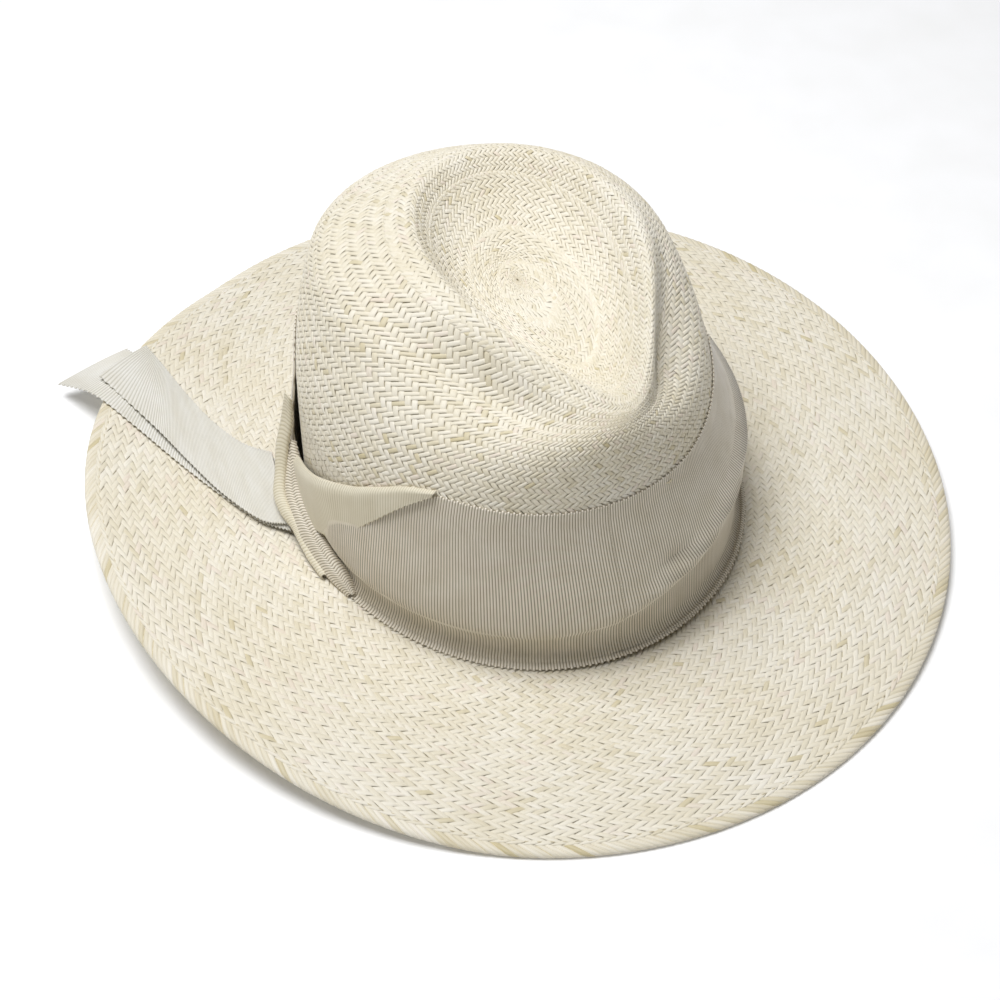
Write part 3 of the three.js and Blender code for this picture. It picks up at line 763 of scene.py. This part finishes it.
# Where the band's rows are, in millimetres up it: close together over the folds
BAND_ROWS = [3, 4.6, 6.4, 8.2, 10, 12, 14.2, 16.6, 19.4, 22.5, 26, 29.5, 33, 36.5, 40, 44, 48, 53, 59, 66, 73]
band = woven_ribbon(
    "ribbon_band_cloth", band_face, BAND_LENGTH, BAND_WIDTH, GREIGE, inner=BAND_ROWS, ring=True
)
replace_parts(band, "ribbon_band")

TACK_HEIGHT = 69.0
TACK_REACH, CROWN_RADIUS = 1.6, 90  # half a tack's length, and what turns it into an angle


def tack(number, degrees):
    """One stitch that holds the band's upper edge to the straw."""
    local = np.linspace(-1, 1, THREAD_STEPS)
    angle = math.radians(degrees) + local * TACK_REACH / CROWN_RADIUS
    way = wall_way(angle, np.full(THREAD_STEPS, TACK_HEIGHT))
    line = off_straw(angle, way, BAND_GAP + 0.75 * (1 - local**2))
    points = tube_points(line, 0.3, THREAD_SIDES).reshape(-1, 3)
    faces = grid_faces(THREAD_STEPS, THREAD_SIDES, ring=True, flip=True)
    return mesh_object(f"tack_{number}", points, faces, THREAD)


for number, degrees in enumerate((20, 75, 130, 185, 235), 1):
    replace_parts(tack(number, degrees), f"band_tack_{number}")

# ---------------------------------------------------------------- the knot
# Near the wearer's right ear the band's upper edge is turned over in a long flap. A folded strap and a
# thin loop of the same ribbon are drawn down over it and over the roots of the tails, and sewn.


def curve(points, count):
    """A smooth line through points, evenly spaced in their own steps."""
    points = np.asarray(points, float)
    padded = np.concatenate([[2 * points[0] - points[1]], points, [2 * points[-1] - points[-2]]])
    place = np.linspace(0, len(points) - 1, count)
    first = np.minimum(place.astype(int), len(points) - 2)
    t = (place - first).reshape((-1,) + (1,) * (points.ndim - 1))
    p0, p1, p2, p3 = [padded[first + i] for i in range(4)]
    return 0.5 * (
        2 * p1 + (p2 - p0) * t + (2 * p0 - 5 * p1 + 4 * p2 - p3) * t**2 + (3 * p1 - p0 - 3 * p2 + p3) * t**3
    )


def lofted(lines):
    """A face through long lines of listed points, given from one edge of the ribbon to the other."""
    lines = [np.asarray(line, float) for line in lines]

    def face(u, v):
        columns = np.stack([curve(line, len(u)) for line in lines])
        fine = curve(columns, 400)
        place = np.clip(v * 399, 0, 399)
        low = np.minimum(place.astype(int), 398)
        t = (place - low)[:, None, None]
        return (fine[low] * (1 - t) + fine[low + 1] * t).transpose(1, 0, 2)

    return face


def on_wall(line):
    """Points given as degrees round the hat, height over the foot and distance off the straw."""
    degrees, height, off = np.array(line, float).T
    angle = np.radians(degrees)
    return off_straw(angle, wall_way(angle, height), off)


SATIN = petersham("petersham_reverse", "#ece6d3", "#cfc7ad", "#e4dcc6")  # the ribbon's smoother back

# The flap's fold and its free edge: degrees round the hat, and height over the foot
FLAP_TOP = [(-46, 73.2), (-54, 69.5), (-63, 61.8), (-71, 54.3), (-83, 43.5), (-92, 35.5), (-103, 25)]
FLAP_LOW = [(-46.5, 71.5), (-54, 62), (-63, 47.5), (-72, 32), (-80, 19.5), (-88, 11.5), (-95, 9)]


def flap_line(share, off, lift=0.0):
    """A line along the flap, a share of the way from its fold to its free edge."""
    top, low = np.array(FLAP_TOP, float), np.array(FLAP_LOW, float)
    line = top + (low - top) * share
    rise = off * np.linspace(0.75, 1, len(line)) + 0.8 * smooth(-line[:, 0], 66, 90)
    return on_wall(np.column_stack([line[:, 0], line[:, 1] + lift, rise]))


flap = woven_ribbon(
    "ribbon_flap",
    lofted([
        flap_line(0.03, 0.9, -0.6), flap_line(0, 1.8, 0.4), flap_line(0.03, 2.9, 0.3), flap_line(0.12, 3.9),
        flap_line(0.4, 3.7), flap_line(0.75, 3.5), flap_line(1, 3.4),
    ]),
    92, 24, SATIN, inner=14, ribbed=0.2,
)
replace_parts(flap, "ribbon_fold")

# The strap from behind the flap down to the brim: its inner edge, the ridge of its fold, its outer edge
STRAP_INNER = [(-85, 27.5, 33), (-86, 20, 26), (-87.6, 13, 20), (-88.1, 2, 17), (-87, -9.1, 15),
               (-86, -18.1, 13), (-83.6, -28, 10), (-83.2, -35.5, 5.6)]
STRAP_RIDGE = [(-86.4, 29.5, 32), (-88.6, 22, 25), (-91, 14.5, 19), (-91.3, 4.1, 16), (-90.4, -8.1, 14),
               (-89.3, -18.3, 12), (-86.8, -29, 9.4), (-84.4, -36, 6)]
STRAP_OUTER = [(-87.4, 31.5, 30), (-90.4, 26, 22.5), (-93.9, 17.9, 16.5), (-94.4, 8.3, 12.8),
               (-93.8, -2.6, 10), (-92.2, -14, 8), (-89.4, -24.5, 6.2), (-85.6, -34.5, 4.8)]


def moved(line, x, z):
    """A line shifted sideways and up."""
    return [(px + x, py, pz + z) for px, py, pz in line]


def between(one, other, share, lift=0.0):
    """The line that is a share of the way from one line to another, lifted a little."""
    one, other = np.array(one, float), np.array(other, float)
    return one + (other - one) * share + (0, 0, lift)


strap = woven_ribbon(
    "knot_strap_cloth",
    lofted([
        moved(STRAP_OUTER, 1.6, -2.6), moved(STRAP_OUTER, -0.2, -0.8),
        between(STRAP_OUTER, STRAP_RIDGE, 0.3, 0.35), between(STRAP_OUTER, STRAP_RIDGE, 0.72, 0.5),
        between(STRAP_RIDGE, STRAP_INNER, 0.12, -0.35), between(STRAP_RIDGE, STRAP_INNER, 0.45, 0.55),
        STRAP_INNER, moved(STRAP_INNER, 1.2, -1.2),
    ]),
    74, 14, GREIGE, inner=16, ribbed=0.45,
)
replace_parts(strap, "knot_strap")

# The loop's two edges, from high on the wall down past the strap
LOOP_OUTER = [(-84.4, 35, 52), (-87, 33.4, 42), (-91.4, 29.5, 31), (-94.4, 24, 22.6), (-97.6, 17.4, 17),
              (-97.6, 10.5, 13.5), (-95.6, 3.3, 10.8), (-95, -2, 9), (-94.2, -12.8, 7.2), (-92.3, -22, 5.6)]
LOOP_INNER = [(-83.6, 31.5, 52), (-84.8, 29.6, 42), (-88.4, 26.5, 31.5), (-91.4, 22, 23.6), (-94, 16, 18.3),
              (-94, 9, 14.8), (-92.8, 2, 12), (-92, -4, 10), (-91, -14, 8), (-90, -22.5, 6)]
loop_cloth = woven_ribbon(
    "knot_loop_cloth",
    lofted([moved(LOOP_OUTER, 0.8, -2.2), LOOP_OUTER, between(LOOP_OUTER, LOOP_INNER, 0.5, 0.9), LOOP_INNER,
            moved(LOOP_INNER, 0.8, -1.4)]),
    80, 10, SATIN, inner=8, ribbed=0.3,
)
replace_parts(loop_cloth, "knot_loop")

# ---------------------------------------------------------------- the two tails
# The ribbon's loose ends, cut straight across and heat-sealed. They leave the knot standing on edge, turn
# down flat on the brim, one over the other, and the lower one reaches over the brim's edge.
TAIL_PAINTED_LIGHT = petersham("petersham_tail_painted_light", "#efede6", "#cbc8bc", "#e2e0d8")  # the same ribbon, its colour painted lighter and cooler for the light on the flat tails


def over_brim(line):
    """Points given as x, y and height over the brim."""
    line = np.array(line, float)
    line[:, 2] += brim_height(line[:, 0], line[:, 1])
    return line


LOWER_INNER = over_brim([(-91.5, 34, 15), (-97, 48, 7), (-103, 66, 2.6), (-110, 88, 1.4), (-118, 108, 1.4)])
LOWER_OUTER = over_brim([(-95.5, 5, 3.2), (-105.5, 16, 1.3), (-117, 36, 1.3), (-127, 56, 1.4),
                         (-137, 78, 1.5), (-148, 103, 1.3)])
# At its end the lower tail lifts off the brim and reaches past its edge
LOWER_INNER = np.concatenate([LOWER_INNER, [(-122.5, 118.5, 13), (-127.5, 128.5, 14)]])
LOWER_OUTER = np.concatenate([LOWER_OUTER, [(-158.5, 126.5, 6.5)]])
lower_tail = woven_ribbon(
    "tail_lower_cloth",
    lofted([
        LOWER_INNER, between(LOWER_INNER, LOWER_OUTER, 0.25, 0.5),
        between(LOWER_INNER, LOWER_OUTER, 0.5, 0.6), between(LOWER_INNER, LOWER_OUTER, 0.75, 0.4), LOWER_OUTER,
    ]),
    126, 29, TAIL_PAINTED_LIGHT, inner=12, body=None,
)
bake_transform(lower_tail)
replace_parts(lower_tail, "tail_lower")

UPPER_INNER = over_brim([(-92, 36, 17), (-100, 52, 10), (-107, 72, 6), (-112, 94, 4), (-115.5, 112, 3.6),
                         (-119, 128, 3.4)])
UPPER_OUTER = over_brim([(-96, 7, 5.4), (-105, 14, 3.4), (-115, 32, 3.2), (-122.5, 52, 3.6), (-130, 74, 4.2),
                         (-143, 112.5, 3.6)])
upper_tail = woven_ribbon(
    "tail_upper_cloth",
    lofted([
        UPPER_INNER, between(UPPER_INNER, UPPER_OUTER, 0.25, 0.7),
        between(UPPER_INNER, UPPER_OUTER, 0.5, 0.9), between(UPPER_INNER, UPPER_OUTER, 0.75, 0.6), UPPER_OUTER,
    ]),
    122, 29, TAIL_PAINTED_LIGHT, inner=12, body=None,
)
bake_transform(upper_tail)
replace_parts(upper_tail, "tail_upper")

# ---------------------------------------------------------------- the sweatband
# A soft band of ribbed cotton inside the crown's foot. Its lower edge is folded round a thin plastic
# reed and sewn through, and it rises free of the straw, so that it can be turned out.
COTTON = petersham("cotton_sweatband_rib", "#e2d9c4", "#b7ab8f", "#d6ccb4")
SWEAT_FOOT = 3.9
SWEAT_WIDTH = 36.0
SWEAT_GIRTH = 548.0  # over which its ribs are spaced
REED_STEPS, REED_SIDES = 720, 10


def inside_line(height, distance):
    """A closed line round the inside of the wall, at a height and a distance in from the straw's face."""
    count = REED_STEPS + 1
    angle = np.linspace(0, 2 * math.pi, count)
    return off_straw(angle, wall_way(angle, np.full(count, height)), np.full(count, -distance))


def sweat_face(u, v):
    """The sweatband just inside the wall: its free upper edge leans in and waves a little."""
    angle, height = np.broadcast_arrays((u * 2 * math.pi)[:, None], SWEAT_FOOT + SWEAT_WIDTH * v[None])
    lean = 2.75 + 0.5 * smooth(height, 30, 39.9) + 0.12 * np.sin(9 * angle) * smooth(height, 20, 39.9)
    way = wall_way(angle.ravel(), height.ravel())
    return off_straw(angle.ravel(), way, -lean.ravel()).reshape(len(u), len(v), 3)


sweatband = woven_ribbon(
    "sweatband_cloth", sweat_face, SWEAT_GIRTH, SWEAT_WIDTH, COTTON, inner=8, ring=True
)
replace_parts(sweatband, "sweatband")


def reed_plastic():
    """Drawn polythene reed, cloudy white."""
    material, tree, shader = new_material("polythene_reed", {"Roughness": 0.4, "Specular IOR Level": 0.45})
    geometry = add(tree, "NewGeometry")
    cloud = add(tree, "TexNoise", {"Scale": 160.0, "Detail": 2.0}, {"Vector": geometry.outputs["Position"]})
    tree.links.new(
        ramp(tree, cloud.outputs["Fac"], [(0.3, "#dcd8cc"), (0.7, "#ebe8df")]), shader.inputs["Base Color"]
    )
    return material


reed_points = tube_points(inside_line(2.6, 3.1)[:-1], 0.9, REED_SIDES).reshape(-1, 3)
reed_side = np.arange(REED_SIDES)
reed_next = np.roll(reed_side, -1)
reed_last = (REED_STEPS - 1) * REED_SIDES
reed_faces = np.concatenate([
    grid_faces(REED_STEPS, REED_SIDES, ring=True, flip=True),
    np.stack([reed_side, reed_next, reed_last + reed_next, reed_last + reed_side], -1),
])
reed = mesh_object("reed_tube", reed_points, reed_faces, reed_plastic())
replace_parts(reed, "sweatband_reed")
sweat_stitches = stitches("sweatband_stitches", inside_line(6.4, 3.75), inside_line(6.4, 3.1), 2.6, 1.1, 0.22)
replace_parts(sweat_stitches, "sweatband_stitch")

# ---------------------------------------------------------------- the bow and the size tab
# A flat bow of narrow ribbon covers the sweatband's joint at the back, with its two loops drawn in by a
# knot. Beside it a blank woven tab is caught in the band's upper edge.
WALL_RADIUS = 92  # turns millimetres along the wall into an angle
BOW_LEVEL, BOW_INSET, KNOT_WIDTH = 10, 4.5, 3.6
TAB_LENGTH, TAB_WIDTH, TAB_FOOT = 18.0, 12.5, 27
TAB_MIDDLE = -0.42 * WALL_RADIUS


def at_back(along, height, distance):
    """Points inside the wall from millimetres along it from the middle of the back."""
    along, height, distance = [v.ravel() for v in np.broadcast_arrays(along, height, distance)]
    angle = math.pi + along / WALL_RADIUS
    return off_straw(angle, wall_way(angle, height), -distance)


def bow_face(u, v):
    """The bow's two loops as one ring, drawn in at the middle."""
    turn = u[:, None] * 2 * math.pi
    half = 1.8 + 3.2 * np.abs(np.sin(turn))
    along, height = 10.5 * np.sin(turn), BOW_LEVEL + (v[None] - 0.5) * 2 * half
    return at_back(along, height, BOW_INSET - 0.55 * np.sin(2 * turn)).reshape(len(u), len(v), 3)


def knot_face(u, v):
    """The short turn of ribbon round the bow's middle."""
    turn = u[:, None] * 2 * math.pi
    height, distance = BOW_LEVEL + 2.2 * np.cos(turn), BOW_INSET - 1.15 * np.sin(turn)
    return at_back((v[None] - 0.5) * KNOT_WIDTH, height, distance).reshape(len(u), len(v), 3)


bow = woven_ribbon("bow_loops", bow_face, 44.0, 10.0, SATIN, inner=2, ring=True)
woven_ribbon("bow_knot", knot_face, 11.0, KNOT_WIDTH, SATIN, inner=2, ring=True)
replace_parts(bow, "sweatband_bow")


def tab_face(u, v):
    """The tab, flat against the sweatband and bowed a little."""
    along = TAB_MIDDLE + (u[:, None] - 0.5) * TAB_LENGTH
    height, distance = TAB_FOOT + TAB_WIDTH * v[None], 3.55 + 0.25 * np.sin(v[None] * 3)
    return at_back(along, height, distance).reshape(len(u), len(v), 3)


TAB = petersham("woven_tab", "#f3f1ea", "#dddad0", "#eceae2")
tab = woven_ribbon("blank_tab", tab_face, TAB_LENGTH, TAB_WIDTH, TAB, inner=3)
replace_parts(tab, "size_tab")
